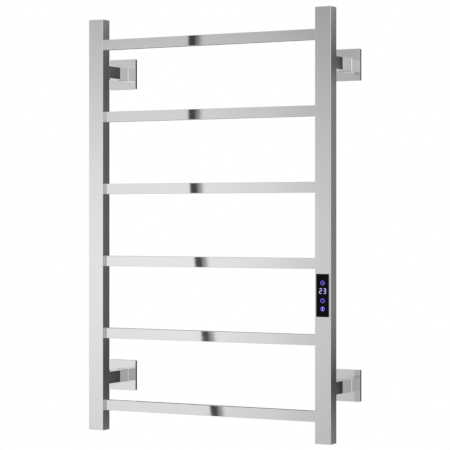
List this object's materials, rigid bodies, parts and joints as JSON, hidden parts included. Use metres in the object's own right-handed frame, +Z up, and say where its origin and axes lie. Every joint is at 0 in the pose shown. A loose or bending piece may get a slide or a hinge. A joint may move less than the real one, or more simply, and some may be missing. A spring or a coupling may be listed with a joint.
{
  "type": "towel warmer rack",
  "caption": "Wall-mounted electric ladder rack that warms towels: two square posts, flat cross bars, bracket stems with sliding covers and a touch control.",
  "frame": {"origin": "centre of the wall-fixing pattern on the wall plane, half way up the posts", "axes": "+Z up along the posts, +Y into the wall, +X to the right seen from the room"},
  "size_m": [0.548, 0.107, 0.8],
  "materials": {
    "bar_steel": "polished stainless steel tube",
    "bezel_chrome": "bright plated frame",
    "black_glass": "back-painted gloss glass",
    "black_plastic": "moulded",
    "black_rubber": "moulded",
    "blue_plastic": "moulded",
    "cap_steel": "pressed and polished stainless steel",
    "capacitor_black": "sleeved can",
    "capacitor_red": "dipped",
    "clear_film": "printed film",
    "cover_steel": "mirror-polished pressed stainless steel",
    "cutout_metal": "crimped can",
    "display_white": "potted display",
    "earth_green": "extruded silicone",
    "green_board": "solder mask",
    "green_plastic": "moulded",
    "post_steel": "polished stainless steel tube",
    "screw_brass": "turned brass",
    "screw_steel": "bright zinc",
    "sensor_epoxy": "potted",
    "silicone_black": "extruded silicone",
    "silicone_white": "extruded silicone",
    "spring_steel": "sprung strip",
    "stem_steel": "mirror-polished stainless steel",
    "tinned_brass": "tinned",
    "violet_led": "lit lens",
    "white_plastic": "moulded polyamide",
    "zinc_steel": "zinc-plated steel"
  },
  "bodies": {
    "rack": {"left_post_tube": "post_steel", "right_post_tube": "post_steel", "bar_tube_1": "bar_steel", "bar_tube_2": "bar_steel", "bar_tube_3": "bar_steel", "bar_tube_4": "bar_steel", "bar_tube_5": "bar_steel", "bar_tube_6": "bar_steel", "left_top_cap": "cap_steel", "left_bottom_cap": "cap_steel", "right_top_cap": "cap_steel", "right_bottom_cap": "cap_steel", "upper_left_bracket_stem": "stem_steel", "upper_left_wall_base": "zinc_steel", "upper_right_bracket_stem": "stem_steel", "upper_right_wall_base": "zinc_steel", "lower_left_bracket_stem": "stem_steel", "lower_left_wall_base": "zinc_steel", "lower_right_bracket_stem": "stem_steel", "lower_right_wall_base": "zinc_steel", "stem_retaining_screws": "screw_steel", "cable_grommet": "black_rubber", "panel_bezel": "bezel_chrome", "touch_glass": "black_glass", "touch_film": "clear_film", "light_mask": "black_plastic", "key_lights": "violet_led", "digit_display": "display_white", "display_board": "green_board", "control_tray": "black_plastic", "power_board": "green_board", "power_board_screws": "screw_steel", "lead_terminals": "green_plastic", "relay": "blue_plastic", "dropper_capacitor": "capacitor_red", "reservoir_capacitor": "capacitor_black", "board_header": "black_plastic", "tray_clips": "spring_steel", "heating_cable": "silicone_white", "thermal_cutout": "cutout_metal", "cold_lead_splice": "silicone_black", "cold_leads": "silicone_black", "supply_lead": "silicone_black", "terminal_block": "white_plastic", "terminal_clamp_screws": "screw_brass", "earth_stud": "screw_steel", "earth_ring_terminal": "tinned_brass", "earth_nut": "screw_brass", "earth_lead": "earth_green", "temperature_sensor": "sensor_epoxy", "sensor_lead": "silicone_black"},
    "upper_left_cover": {"upper_left_cover_plate": "cover_steel"},
    "upper_right_cover": {"upper_right_cover_plate": "cover_steel"},
    "lower_left_cover": {"lower_left_cover_plate": "cover_steel"},
    "lower_right_cover": {"lower_right_cover_plate": "cover_steel"}
  },
  "joints": [
    {"name": "upper_left_cover_slide", "type": "slide", "parent": "rack", "child": "upper_left_cover", "axis": [0, -1, 0], "range_m": [0, 0.072]},
    {"name": "upper_right_cover_slide", "type": "slide", "parent": "rack", "child": "upper_right_cover", "axis": [0, -1, 0], "range_m": [0, 0.072]},
    {"name": "lower_left_cover_slide", "type": "slide", "parent": "rack", "child": "lower_left_cover", "axis": [0, -1, 0], "range_m": [0, 0.072]},
    {"name": "lower_right_cover_slide", "type": "slide", "parent": "rack", "child": "lower_right_cover", "axis": [0, -1, 0], "range_m": [0, 0.072]}
  ]
}
